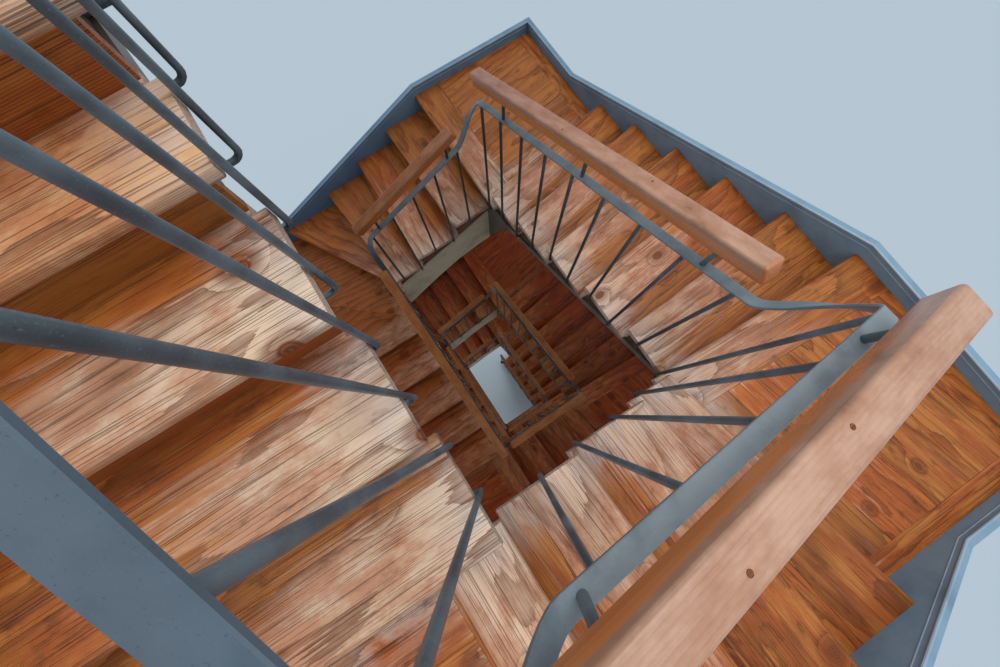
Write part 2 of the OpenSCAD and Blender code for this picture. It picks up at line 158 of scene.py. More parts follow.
def level_axes(start: Vector, end: Vector) -> tuple:
    """The direction from one place to another on its level, and the one square to it on its right."""
    along = (end - start).normalized()
    return along, Vector((along.y, -along.x, 0))


def linear(colour: str) -> tuple:
    """Turns an sRGB hex colour to linear RGBA.

    Args:
        colour: Six hex digits after a hash.

    Returns:
        Four linear numbers, the last of them 1.
    """
    parts = [int(colour[k:k + 2], 16) / 255 for k in (1, 3, 5)]
    return tuple(c / 12.92 if c <= 0.04045 else ((c + 0.055) / 1.055) ** 2.4 for c in parts) + (1.0,)


# what a node of a kind starts from, before its own settings
NODE_STARTS = {"Mix": {"data_type": "RGBA"}, "MapRange": {"interpolation_type": "SMOOTHSTEP"}}


def node(tree: bpy.types.NodeTree, kind: str, *inputs: object, **named: object) -> bpy.types.Node:
    """Adds one shader node with its settings and links.

    Args:
        tree: The material's node tree.
        kind: The node's type after "ShaderNode", and its operation after a blank if it has one.
        inputs: A value, a hex colour, another node or a node's output for each socket that the mode shows.
        named: The same under a socket's name, which has a capital, and settings under theirs.

    Returns:
        The new node.
    """
    kind, _, operation = kind.partition(" ")
    made = tree.nodes.new("ShaderNode" + kind)
    starts = {"operation": operation} if operation else NODE_STARTS.get(kind, {})
    for name, value in (starts | named).items():
        if name.islower():
            setattr(made, name, value)
    sockets = [*zip((socket for socket in made.inputs if socket.enabled), inputs)]
    sockets += [(made.inputs[name], value) for name, value in named.items() if not name.islower()]
    for socket, value in sockets:
        if isinstance(value, bpy.types.Node):
            value = first_output(value)
        if isinstance(value, bpy.types.NodeSocket):
            tree.links.new(value, socket)
        else:
            socket.default_value = linear(value) if isinstance(value, str) else value
    return made


def first_output(source: bpy.types.Node) -> bpy.types.NodeSocket:
    """The first output that the node's mode uses."""
    return next(out for out in source.outputs if out.enabled)


def start_material(name: str) -> tuple:
    """Starts a material.

    Args:
        name: Its name.

    Returns:
        The material, the node-adding function bound to its tree, and its main shader.
    """
    material = bpy.data.materials.new(name)
    material.use_nodes = True
    return material, partial(node, material.node_tree), material.node_tree.nodes["Principled BSDF"]


def join(shader: bpy.types.Node, links: dict) -> None:
    """Links nodes to the shader's sockets, by socket name."""
    for name, source in links.items():
        shader.id_data.links.new(first_output(source), shader.inputs[name])


@dataclass(frozen=True)
class OiledPine:
    """Old pitch pine, sawn along the trunk, oiled and walked on: fine rings, knots, red stain, pale worn ends.

    Its pattern follows the board through two attributes. "grain" holds metres along, across and
    through the log that the board was sawn from, and "walk" holds metres from the well end, metres
    behind the nosing and the board's own tone from 0 to 1. Resin-rich late wood gives the dark lines.
    """

    name: str
    early: str = "#b56f33"
    late: str = "#63300f"
    stain: str = "#9a471b"
    dark: str = "#3a1d0c"
    worn: str = "#dac0a4"
    rubbed: str = "#c29070"
    flushed: str = "#eedcd8"
    honey: str = "#efc899"
    worn_late: str = "#7a4e34"
    bare: str = "#d6cbc0"
    wear: float = 1.0
    bareness: float = 0.7
    staining: float = 0.75
    ring_mm: float = 5.0
    shine: float = 0.28
    knots: float = 0.28
    knot: str = "#4d2415"
    knot_rim: str = "#8f4a22"
    roughness: float = 0.40
    relief_mm: float = 0.7
    ruling: float = 0.8
    cracking: float = 0.6
    spread: float = 0.30
    # colour and heights of the painted shade that darkens the lower turns
    lower_turn_shade: str = "#a27b57"
    lower_turn_shade_from: float = 10.3
    lower_turn_shade_to: float = 8.0

    def material(self) -> bpy.types.Material:
        """Builds the material.

        Returns:
            The material.
        """
        material, add, shader = start_material(self.name)
        grain = add("Attribute", attribute_name="grain").outputs["Vector"]
        walk = add("Attribute", attribute_name="walk").outputs["Vector"]
        from_well, behind, tone = add("SeparateXYZ", walk).outputs
        high = add("SeparateXYZ", add("TexCoord").outputs["Object"]).outputs[2]
        # noises drawn out along the grain, by waves a metre along, across and through: the sway of the
        # rings, their ragged edge, streaks 10 mm wide, blotches 80 mm to 300 mm across, and dirt
        noises = []
        for waves, shift, detail, roughness in (
                ((1.6, 5.0, 5.0), (0, 0, 0), 2.0, 0.5), ((5, 150, 70), (0, 0, 0), 3.0, 0.62),
                ((2.2, 60, 30), (0, 0, 0), 3.0, 0.55), ((3.2, 14.0, 6.0), (0, 0, 0), 5.0, 0.6),
                ((8.0, 17.0, 9.0), (7.1, 3.3, 0), 6.0, 0.66)):
            drawn = add("VectorMath MULTIPLY_ADD", grain, waves, shift)
            noises.append(add("TexNoise", Vector=drawn, Scale=1.0, Detail=detail, Roughness=roughness))
        sway, rough, streak, blot, soil = noises
        # sparse knots 25 mm to 60 mm across: one cell is 360 mm along and 240 mm across
        cells = add("VectorMath MULTIPLY", grain, (1 / 0.36, 1 / 0.24, 0))
        knot = add("TexVoronoi", Vector=cells, Scale=1.0, Randomness=0.8, voronoi_dimensions="2D")
        chance, size, _ = add("SeparateColor", knot.outputs["Color"]).outputs
        kept = add("Math LESS_THAN", chance, self.knots)
        reach = add("Math MULTIPLY_ADD", size, 0.05, 0.05)
        share = add("Math DIVIDE", knot.outputs["Distance"], reach)
        swirl = add("MapRange", share, 3.6, 0.6, 0, kept)
        core = add("MapRange", share, 1.1, 0.8, 0, kept)
        # growth rings as saw-tooth shells round the log's axis: they sway by 4 mm and part round the knots
        centred = add("VectorMath SUBTRACT", sway.outputs["Color"], (0.5, 0.5, 0.5))
        bend = add("VectorMath MULTIPLY_ADD", centred, (0, 0.018, 0.018), grain)
        radius = add("VectorMath LENGTH", add("VectorMath MULTIPLY", bend, (0, 1, 1)))
        radius = add("Math MULTIPLY_ADD", swirl, 0.006, radius)
        ragged = add("Math MULTIPLY_ADD", rough, 0.0013, radius)
        ring = add("Math FRACT", add("Math DIVIDE", ragged, self.ring_mm * MM))
        # the streaks let the late wood come and go; cracks 1.5 mm wide and 300 mm long stay dark
        present = add("MapRange", streak, 0.36, 0.60, 0.55, 1.0, interpolation_type="LINEAR")
        line = add("Math MULTIPLY", add("Math POWER", ring, 3.0), present)
        thin = add("VectorMath MULTIPLY", bend, (2.8, 330, 150))
        cracks = add("TexNoise", Vector=thin, Scale=1.0, Detail=2.0, Roughness=0.6)
        crack = add("MapRange", cracks, 0.53, 0.64)
        # wear: the well half of the step, heavier near the nosing, with a ragged edge along the grain
        inner = add("MapRange", from_well, 0.85, 0.32)
        front = add("MapRange", behind, 0.27, 0.13, 0.1, 1.0)
        edge = add("Math ADD", blot, streak)
        trodden = add("Math MULTIPLY_ADD", edge, 1.4, add("Math MULTIPLY", inner, front))
        worn = add("MapRange", trodden, 1.54, 2.14, 0, self.wear)
        end = add("MapRange", from_well, 0.20, 0.0, 0, self.bareness)
        scoured = add("MapRange", soil, 0.36, 0.58, interpolation_type="LINEAR")
        bare = add("Math MULTIPLY", end, scoured)
        # the early wood: old red stain in blotches, then the wear
        red = add("Math MULTIPLY_ADD", tone, 0.22, blot)
        stained = add("MapRange", red, 0.52, 0.72, 0, self.staining)
        further = add("Math MULTIPLY_ADD", from_well, 0.35, soil)
        warm = add("MapRange", further, 0.42, 0.70)
        pale = add("Mix", warm, self.worn, self.rubbed)
        # bare wood is pinker on the turns below the highest steps, and honey-coloured on those
        for reached, tint in ((11.1, self.flushed), (12.3, self.honey)):
            there = add("MapRange", high, 12.0, reached)
            pale = add("Mix", there, pale, tint, blend_type="MULTIPLY")
        early = add("Mix", stained, self.early, self.stain)
        for covered, colour in ((worn, pale), (bare, self.bare)):
            early = add("Mix", covered, early, colour)
        late = add("Mix", worn, self.late, self.worn_late)
        # over it the late wood, cracks, dirt, the dark wood round a knot, and the knot with rings of its own
        ruled = add("Math MULTIPLY", line, self.ruling)
        slit = add("Math MULTIPLY", crack, self.cracking)
        foul = add("Math MULTIPLY_ADD", worn, -0.03, soil)
        dirty = add("MapRange", foul, 0.53, 0.76, 0, 0.62)
        halo = add("MapRange", swirl, 0.2, 0.9, 0, 0.55)
        rings = add("Math FRACT", add("Math MULTIPLY", share, 3.0))
        heart = add("Mix", rings, self.knot, self.knot_rim)
        inside = add("Math MULTIPLY", core, 0.9)
        wood = early
        for covered, colour in ((ruled, late), (slit, self.dark), (dirty, self.dark), (halo, late), (inside, heart)):
            wood = add("Mix", covered, wood, colour)
        own = add("Math MULTIPLY_ADD", tone, self.spread, 1 - self.spread / 2)
        wood = add("VectorMath SCALE", wood, Scale=own)
        # painted shade: the lower turns are darkened by height towards a deep colour, below the daylit top turn, and
        # shine less there
        painted_turn_shade = add("MapRange", high, self.lower_turn_shade_from, self.lower_turn_shade_to)
        wood = add("Mix", painted_turn_shade, wood, self.lower_turn_shade, blend_type="MULTIPLY")
        gloss = add("Math MULTIPLY_ADD", soil, 0.26, self.roughness - 0.13)
        for rougher, amount in ((worn, 0.14), (painted_turn_shade, -0.08)):
            gloss = add("Math MULTIPLY_ADD", rougher, amount, gloss)
        shine = add("MapRange", painted_turn_shade, 0, 1, self.shine, 0.35 * self.shine, interpolation_type="LINEAR")
        height = add("Math MULTIPLY_ADD", crack, -1.2, line)
        height = add("Math MULTIPLY_ADD", soil, 0.9, height)
        bump = add("Bump", Strength=0.6, Distance=self.relief_mm * MM, Height=height)
        join(shader, {"Base Color": wood, "Roughness": gloss, "Specular IOR Level": shine, "Normal": bump})
        return material


@dataclass(frozen=True)
class PaintedIron:
    """Wrought iron under old blue-grey paint: hammer dents, dust on top, a few chips."""

    name: str
    paint: str = "#65747e"
    shade: str = "#465159"
    dust: str = "#8b9ba4"
    chip: str = "#2a2e30"
    # colour and heights of the painted shade on the iron of the lower turns
    lower_shade: str = "#75655c"
    lower_shade_from: float = 11.8
    lower_shade_to: float = 9.4
    dent_mm: float = 14.0
    depth_mm: float = 0.9
    roughness: float = 0.36

    def material(self) -> bpy.types.Material:
        """Builds the material.

        Returns:
            The material.
        """
        material, add, shader = start_material(self.name)
        place = add("TexCoord").outputs["Object"]
        high = add("SeparateXYZ", place).outputs[2]
        upwards = add("SeparateXYZ", add("NewGeometry").outputs["Normal"]).outputs[2]
        dents = add("TexNoise", Vector=place, Scale=1000 / self.dent_mm, Detail=2.0)
        cloud = add("TexNoise", Vector=place, Scale=9.0, Detail=4.0, Roughness=0.6)
        grit = add("TexNoise", Vector=place, Scale=420.0, Detail=2.0, Roughness=0.7)
        light = add("MapRange", cloud, 0.35, 0.68)
        paint = add("Mix", light, self.shade, self.paint)
        level = add("MapRange", upwards, 0.25, 0.95, 0, 0.6)
        settled = add("MapRange", cloud, 0.25, 0.60)
        dusty = add("Math MULTIPLY", level, settled)
        specks = add("MapRange", grit, 0.60, 0.74, 0, 0.4)
        pits = add("MapRange", grit, 0.36, 0.28, 0, 0.5)
        # painted shade: the iron of the lower turns is darkened by height to nearly black
        painted_lower_shade = add("MapRange", high, self.lower_shade_from, self.lower_shade_to)
        for covered, colour, blend in ((dusty, self.dust, "MIX"), (specks, self.dust, "MIX"),
                                       (pits, self.chip, "MIX"), (painted_lower_shade, self.lower_shade, "MULTIPLY")):
            paint = add("Mix", covered, paint, colour, blend_type=blend)
        matt = add("Math MULTIPLY_ADD", cloud, 0.3, self.roughness - 0.15)
        height = add("Math MULTIPLY_ADD", grit, 0.14, dents)
        bump = add("Bump", Strength=0.7, Distance=self.depth_mm * MM, Height=height)
        join(shader, {"Base Color": paint, "Roughness": matt, "Normal": bump})
        return material


@dataclass(frozen=True)
class BrushedPaint:
    """Oil paint laid on timber with a brush: faint brush lines, soft dirt, satin gloss."""

    name: str
    paint: str
    dirt: str
    # colour of the painted shade on the paint of the lower turns
    lower_shade: str = "#8d7a6c"
    roughness: float = 0.38

    def material(self) -> bpy.types.Material:
        """Builds the material.

        Returns:
            The material.
        """
        material, add, shader = start_material(self.name)
        place = add("TexCoord").outputs["Object"]
        high = add("SeparateXYZ", place).outputs[2]
        cloud = add("TexNoise", Vector=place, Scale=5.0, Detail=5.0, Roughness=0.6)
        # brush lines lie level, 3 mm apart and 250 mm long
        level = add("VectorMath MULTIPLY", place, (4, 4, 330))
        strokes = add("TexNoise", Vector=level, Scale=1.0, Detail=2.0)
        soiled = add("MapRange", cloud, 0.42, 0.75)
        ruled = add("MapRange", strokes, 0.5, 0.75, 0, 0.14)
        # painted shade: the paint darkens by height on the lower turns
        painted_lower_shade = add("MapRange", high, 10.6, 9.2)
        paint = add("Mix", soiled, self.paint, self.dirt)
        paint = add("Mix", ruled, paint, self.dirt)
        paint = add("Mix", painted_lower_shade, paint, self.lower_shade, blend_type="MULTIPLY")
        matt = add("Math MULTIPLY_ADD", cloud, 0.25, self.roughness - 0.12)
        bump = add("Bump", Strength=0.35, Distance=0.3 * MM, Height=strokes)
        join(shader, {"Base Color": paint, "Roughness": matt, "Normal": bump})
        return material


class Finish(Enum):
    """Every finish on the staircase."""

    TREAD = OiledPine("oiled_pine_tread")
    RISER = OiledPine("oiled_pine_riser", early="#b06b30", late="#5f2e12", stain="#96461b", worn="#bd854e",
                      wear=0.35, bareness=0.0, knots=0.1, roughness=0.42)
    STRING = OiledPine("dark_stained_string", early="#4d3018", late="#2c1a0d", stain="#4a2410", worn="#5d4630",
                       wear=0.4, bareness=0.0, staining=0.3, roughness=0.55)
    BEARER = OiledPine("rough_sawn_bearer", early="#7d5430", late="#4a2e18", stain="#6e3c1c", worn="#8f6a48",
                       wear=0.3, bareness=0.0, roughness=0.7)
    # the rail takes the same painted shade on its lower turns, towards a golden brown
    RAIL = OiledPine("hand_polished_rail", early="#d2824a", late="#8f4f2a", stain="#bd6a36", dark="#5c3018",
                     worn="#c9a189", rubbed="#b28469", worn_late="#93674e", honey="#ffffff", bareness=0.0,
                     staining=0.5, ring_mm=7.0, knots=0.08, roughness=0.26, relief_mm=0.12, ruling=0.28,
                     cracking=0.06, spread=0.12, shine=0.5, lower_turn_shade="#bfa878", lower_turn_shade_from=11.3, lower_turn_shade_to=10.3)
    BAR = PaintedIron("painted_flat_bar", paint="#73828b", shade="#65737c", dust="#93a2a9", chip="#4c5357",
                      dent_mm=40.0, depth_mm=0.4)
    # a darker copy of the bar paint for the left flight, as painted shade
    SHADED_BAR = PaintedIron("shaded_flat_bar", paint="#566774", shade="#4c5b67", dust="#67798a",
                           chip="#3c444a", dent_mm=40.0, depth_mm=0.4)
    # the rods' painted shade starts higher on the stair and goes darker
    ROD = PaintedIron("painted_forged_rod", lower_shade="#6a6462", lower_shade_from=11.9, lower_shade_to=10.6)
    SKIRT = BrushedPaint("blue_grey_oil_paint", paint="#7a9bb1", dirt="#66869d", lower_shade="#9fb0c4")
    # a lighter copy of the wall-string paint on the beads, a painted highlight along their top edges
    HIGHLIT_BEAD = BrushedPaint("highlit_blue_grey_bead", paint="#92a8ba", dirt="#7b92a6", lower_shade="#aebccb")
    CREAM = BrushedPaint("old_cream_paint", paint="#dad2bf", dirt="#b5ad99", lower_shade="#c9bfb2")
    # painted shade: a darkened copy of the fascia paint for every fascia but the head one, with dirt clouds over it
    GREY = BrushedPaint("shaded_dirty_grey_edge_paint", paint="#6a6258", dirt="#453a30")

    @property
    def made(self) -> bpy.types.Material:
        """The finish's material, built at its first use."""
        return bpy.data.materials.get(self.value.name) or self.value.material()


def dress(name: str, bm: BMesh, finish: Finish, nodes: list,
          smooth: float = 0.0) -> None:
    """Makes a finished piece that rides on the staircase.

    Args:
        name: The piece's name.
        bm: Its mesh, in the shared frame; it is freed.
        finish: Its finish.
        nodes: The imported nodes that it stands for.
        smooth: Edges sharper than this many degrees stay sharp; 0 leaves flat faces.
    """
    mesh = bpy.data.meshes.new(name)
    bm.to_mesh(mesh)
    bm.free()
    mesh.materials.append(finish.made)
    if smooth:
        mesh.shade_smooth()
        mesh.set_sharp_from_angle(angle=math.radians(smooth))
    piece = bpy.data.objects.new(name, mesh)
    bpy.context.scene.collection.objects.link(piece)
    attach(piece, "root")
    if nodes:
        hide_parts(*nodes)
    log.info("%s: %d faces", name, len(mesh.polygons))


def islands(source: bpy.types.Object) -> list:
    """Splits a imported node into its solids, with flat faces merged.

    Args:
        source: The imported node's object, which is left alone.

    Returns:
        One new mesh for each solid, lowest first.
    """
    whole = bmesh.new()
    whole.from_mesh(source.data)
    bmesh.ops.remove_doubles(whole, verts=whole.verts, dist=0.02 * MM)
    bmesh.ops.dissolve_limit(whole, angle_limit=math.radians(0.5), verts=whole.verts, edges=whole.edges)
    whole.faces.ensure_lookup_table()
    left, found = whole.faces[:], []
    while left:
        grown, front = set(), left[:1]
        while front:
            face = front.pop()
            if face not in grown:
                grown.add(face)
                front.extend(f for e in face.edges for f in e.link_faces)
        left = [face for face in left if face not in grown]
        kept = {face.index for face in grown}
        part = whole.copy()
        bmesh.ops.delete(part, geom=[f for f in part.faces if f.index not in kept], context="FACES")
        found.append(part)
    whole.free()
    return sorted(found, key=lambda part: min(v.co.z for v in part.verts))


def slice_off(bm: BMesh, place: Vector, away: Vector) -> None:
    """Cuts away what lies beyond a plane and closes the cut.

    Args:
        bm: The mesh to cut.
        place: A point of the plane.
        away: The plane's normal, towards what goes.
    """
    geom = [*bm.verts, *bm.edges, *bm.faces]
    cut = bmesh.ops.bisect_plane(bm, geom=geom, dist=0.001 * MM, plane_co=place, plane_no=away, clear_outer=True)
    edges = [g for g in cut["geom_cut"] if isinstance(g, BMEdge)]
    if edges:
        bmesh.ops.edgenet_fill(bm, edges=edges)
        bmesh.ops.recalc_face_normals(bm, faces=bm.faces)


def mark(bm: BMesh, grain: Matrix, walk: Matrix, tone: float) -> None:
    """Writes the two wood attributes on every vertex.

    Args:
        bm: The board's mesh.
        grain: From the shared frame to the log's along, across and through.
        walk: From the shared frame to metres from the well end and behind the nosing.
        tone: The board's own tone, 0 to 1.
    """
    layers = bm.verts.layers.float_vector
    log_place, walk_place = (layers.get(name) or layers.new(name) for name in ("grain", "walk"))
    for vert in bm.verts:
        vert[log_place] = grain @ vert.co
        reach = walk @ vert.co
        vert[walk_place] = (reach.x, reach.y, tone)


def basis(origin: Vector, along: Vector, across: Vector, offset: Vector = Vector()) -> Matrix:
    """The matrix from the shared frame to a board's own axes, plus an offset in them."""
    turn = Matrix((along, across, along.cross(across).normalized())).to_4x4()
    return Matrix.Translation(offset) @ turn @ Matrix.Translation(-origin)


def in_log(draw: random.Random) -> Vector:
    """Where in the trunk a board was sawn: far along for its own pattern, off the axis for its arches."""
    across = draw.uniform(0.03, 0.30) if draw.random() < 0.75 else draw.uniform(-0.2, -0.05)
    return Vector((draw.uniform(0, 60), across, draw.choice((-1, 1)) * draw.uniform(0.02, 0.06)))


def gather(parts: list) -> BMesh:
    """Joins meshes into one and frees them.

    Args:
        parts: The meshes.

    Returns:
        The whole.
    """
    whole = bmesh.new()
    carrier = bpy.data.meshes.new("carrier")
    for part in parts:
        part.to_mesh(carrier)
        part.free()
        whole.from_mesh(carrier)
    bpy.data.meshes.remove(carrier)
    return whole


def redress(source: str, name: str, finish: Finish, marker: Callable | None = None,
            smooth: float = 0.0) -> None:
    """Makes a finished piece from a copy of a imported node, solid by solid.

    Args:
        source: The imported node's name.
        name: The piece's name.
        finish: Its finish.
        marker: What marks the grain of a solid, if it is wood.
        smooth: Edges sharper than this many degrees stay sharp; 0 leaves flat faces.
    """
    parts = islands(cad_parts[source])
    for part in parts if marker else ():
        marker(part)
    dress(name, gather(parts), finish, [source], smooth)


@dataclass
class TreadBoards:
    """The steps: most treads are two or more boards, with a rounded nosing and fine open joints.

    The front board takes front_share of a tread. On a landing it is landing_front wide, the others
    about landing_board, and the border along a wall strip. The corner winders part winder_front behind
    the nosing at the well, and winder_share of the way to the next one at the wall.
    """

    joint: float = 0.5 * MM
    arris: float = 1.3 * MM
    arris_angle: float = 1.2
    front_share: float = 0.62
    whole: tuple = (12, 13, 14)
    landings: tuple = (6, 10, 20)
    landing_front: float = 0.215
    landing_board: float = 0.235
    landing_reach: float = 1.5
    winders: tuple = (15, 16)
    winder_front: float = 0.110
    winder_share: float = 0.55
    strip: float = 0.097
    draw: random.Random = field(default_factory=lambda: random.Random(11))

    def cuts(self, step: int, turn: int) -> list:
        """The lines that part a tread into boards.

        Args:
            step: The step in its turn.
            turn: The storey, from 1.

        Returns:
            (board direction, the one square to it, planes as (place, normal away)) for each board.
        """
        p, q = PLAN.nosing_line(step, turn)
        d, n = level_axes(p, q)
        if step < PLAN.steps:
            p2, q2 = PLAN.nosing_line(step + 1, turn)
        elif turn < PLAN.storeys:
            p2, q2 = PLAN.nosing_line(1, turn + 1)
        else:
            p2, q2 = PLAN.point(Side.RIGHT, 0, 0), PLAN.point(Side.RIGHT, 0, PLAN.widths[0])
        gap = self.joint / 2
        if step in self.whole:
            return [(d, n, [])]
        if step in self.landings:
            rows = [(d, n, [(p + n * (self.landing_front - gap), n)])]
            back = (p + n * (self.landing_front + gap), -n)
            d2, n2 = level_axes(p2, q2)
            first = p2 + n2 * PLAN.lap
            wall = self.side_wall(step)
            inside = [(wall[0] - wall[1] * gap, wall[1])] if wall else []
            offset = 0.0
            while offset < self.landing_reach:
                high = [(first - n2 * (offset + gap), n2)] if offset else []
                offset += self.landing_board * self.draw.uniform(0.85, 1.15)
                rows.append((d2, n2, [back, (first - n2 * (offset - gap), -n2), *high, *inside]))
            if wall:
                rows.append((UP.cross(wall[1]), -wall[1], [back, (wall[0] + wall[1] * gap, -wall[1])]))
            return rows
        if step in self.winders:
            at_well, at_wall = p + n * self.winder_front, q + (q2 - q) * self.winder_share
        else:
            at_well, at_wall = (a + (b + n * PLAN.lap - a) * self.front_share for a, b in ((p, p2), (q, q2)))
        _, k = level_axes(at_well, at_wall)
        return [(d, n, [(at_well - k * gap, k)]), (d, n, [(at_well + k * gap, -k)])]

    def side_wall(self, step: int) -> tuple | None:
        """The inner line and outward direction of a landing's strip along the wall, if it has one."""
        side = {6: Side.FOOT, 20: Side.RIGHT}.get(step)
        return (PLAN.point(side, 0, PLAN.widths[side.value] - self.strip), side.outward) if side else None

    def build(self) -> None:
        """Rebuilds every packed tread node as boards."""
        for name, source in sorted(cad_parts.items()):
            if not name.startswith("treads_"):
                continue
            boards = []
            for solid in islands(source):
                top = max(v.co.z for v in solid.verts)
                count = round(top / PLAN.riser)
                turn, step = (count - 1) // PLAN.steps + 1, (count - 1) % PLAN.steps + 1
                boards.extend(self.boards(solid, step, turn))
                solid.free()
            dress(name.replace("treads", "boards"), gather(boards), Finish.TREAD, [name], smooth=32)

    def boards(self, solid: BMesh, step: int, turn: int) -> list:
        """Parts one tread into its boards and marks each one's grain.

        Args:
            solid: The tread, which is left alone.
            step: The step in its turn.
            turn: The storey, from 1.

        Returns:
            The boards' meshes.
        """
        p, q = PLAN.nosing_line(step, turn)
        d, n = level_axes(p, q)
        found = []
        for along, across, planes in self.cuts(step, turn):
            board = solid.copy()
            for place, away in planes:
                if board.verts:
                    slice_off(board, place, away)
            if len(board.verts) < 4 or not board.faces:
                board.free()
                continue
            sharp = [e for e in board.edges if len(e.link_faces) == 2 and e.calc_face_angle(0) > self.arris_angle]
            bmesh.ops.bevel(board, geom=sharp, offset=self.arris, offset_type="OFFSET", affect="EDGES", segments=1,
                            profile=0.5, material=-1, clamp_overlap=True)
            mark(board, basis(p, along, across, in_log(self.draw)), basis(p, d, n), self.draw.random())
            found.append(board)
        return found


@dataclass
class RiserBoards:
    """The upright boards between the treads, with their grain level."""

    draw: random.Random = field(default_factory=lambda: random.Random(23))

    def mark_grain(self, board: BMesh) -> None:
        """Marks a riser board's grain, at the step that its lower edge's height gives.

        Args:
            board: The riser board.
        """
        turn, k = divmod(round(min(v.co.z for v in board.verts) / PLAN.riser), PLAN.steps)
        p, q = PLAN.nosing_line(k + 1, turn + 1)
        d, _ = level_axes(p, q)
        mark(board, basis(p, d, UP, in_log(self.draw)), basis(p, d, UP), self.draw.random())

    def build(self) -> None:
        """Marks the grain on a copy of each packed riser node."""
        for turn in range(1, PLAN.storeys + 1):
            redress(f"risers_{turn}", f"riser_boards_{turn}", Finish.RISER, self.mark_grain)


@dataclass
class StringTimbers:
    """The cut strings, bearers and trimmer: dark timbers whose grain runs along them."""

    rise: float = 0.8
    string_walk: tuple = (0.6, 0.2, 0)
    bearer_walk: tuple = (0.9, 0.3, 0)
    draw: random.Random = field(default_factory=lambda: random.Random(5))

    def mark_string(self, side: Side, part: BMesh) -> None:
        """Marks a cut string's grain, which climbs with its flight.

        Args:
            side: The flight.
            part: The string.
        """
        rise = (side.along * PLAN.spans[side.value] + UP * self.rise).normalized()
        across = side.outward.cross(rise).normalized()
        part.verts.ensure_lookup_table()
        grain = basis(part.verts[0].co.copy(), rise, across, in_log(self.draw))
        mark(part, grain, Matrix.Translation(self.string_walk), self.draw.random())

    def mark_bearer(self, part: BMesh) -> None:
        """Marks a bearer's grain, which runs level between its ends.

        Args:
            part: The bearer.
        """
        ends = sorted((v.co for v in part.verts), key=lambda c: c.x + c.y * 0.01)
        along = Vector((ends[-1].x - ends[0].x, ends[-1].y - ends[0].y, 0)).normalized()
        grain = basis(ends[0].copy(), along, UP, in_log(self.draw))
        mark(part, grain, Matrix.Translation(self.bearer_walk), self.draw.random())

    def build(self) -> None:
        """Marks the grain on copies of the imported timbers."""
        for side in Side:
            name = "string_" + side.label
            redress(name, "timber_" + name, Finish.STRING, partial(self.mark_string, side))
        for name in ("corner_bearers", "landing_trimmer"):
            redress(name, "timber_" + name, Finish.BEARER, self.mark_bearer)


@dataclass
class Paintwork:
    """The cream fascia and the blue-grey wall strings, with a bead along each wall string.

    Corners within the column's width lie one over the other, and a wall string is over depth high.
    """

    highlit_bead: float = 0.006
    line_drop: float = 0.036
    column: float = 0.070
    depth: float = 0.200

    def build(self) -> None:
        """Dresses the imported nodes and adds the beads."""
        for side in Side:
            name = "fascia_" + side.label
            # the head fascia keeps the cream paint; the others get its darkened copy as painted shade
            coat = Finish.CREAM if side is Side.HEAD else Finish.GREY
            redress(name, "painted_" + name, coat)
            name = "wall_string_" + side.label
            parts = islands(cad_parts[name])
            tops = [self.top_line(part, side) for part in parts]
            dress("painted_" + name, gather(parts), Finish.SKIRT, [name])
            # the beads take the lighter paint as a painted highlight
            dress("bead_" + name, self.beads(tops, side), Finish.HIGHLIT_BEAD, [], smooth=40)

    def top_line(self, part: BMesh, side: Side) -> list:
        """The upper edge of one wall string on its room side.

        Args:
            part: The wall string.
            side: Its flight.

        Returns:
            The edge's corners in climbing order.
        """
        face = min(v.co.dot(side.outward) for v in part.verts)
        near = [v.co.copy() for v in part.verts if v.co.dot(side.outward) < face + MM]
        near.sort(key=lambda c: c.dot(side.along))
        first, last = near[0].dot(side.along), near[-1].dot(side.along)
        line = []
        for place in near:
            s = place.dot(side.along)
            highest = max(c.z for c in near if abs(c.dot(side.along) - s) < self.column)
            at_end = s - first < MM or last - s < MM
            if place.z >= highest - MM and (at_end or place.z > self.under(near, s, side) + self.depth):
                line.append(place)
        return line

    @staticmethod
    def under(near: list, s: float, side: Side) -> float:
        """The lower edge's height at a place along the flight."""
        lows = sorted(near, key=lambda c: abs(c.dot(side.along) - s) + c.z)
        return min(c.z for c in lows[:3])

    def beads(self, tops: list, side: Side) -> BMesh:
        """A rounded bead on the upper edges and a finer line below it.

        Args:
            tops: The upper edges.
            side: Their flight.

        Returns:
            The beads' mesh.
        """
        bm = bmesh.new()
        for line in tops:
            for drop, size in ((self.highlit_bead * 0.4, self.highlit_bead), (self.line_drop, self.highlit_bead * 0.45)):
                sweep(bm, circle(size, 8), [c - UP * drop - side.outward * size * 0.2 for c in line], UP)
        return bm


def circle(radius: float, sides: int) -> list:
    """A round section's points."""
    return [Vector((math.cos(a), math.sin(a), 0)) * radius for a in (k * math.tau / sides for k in range(sides))]


def frame_at(path: list, k: int, up: Vector) -> Matrix:
    """The station matrix at a point of a path: local X level, local Y as near up as it can be, local Z ahead.

    Args:
        path: The path's points.
        k: The point's number.
        up: The direction that Y keeps near.

    Returns:
        The matrix.
    """
    ahead = (path[min(k + 1, len(path) - 1)] - path[max(k - 1, 0)]).normalized()
    level = up.cross(ahead).normalized()
    turn = Matrix((level, ahead.cross(level), ahead)).transposed().to_4x4()
    return Matrix.Translation(path[k]) @ turn


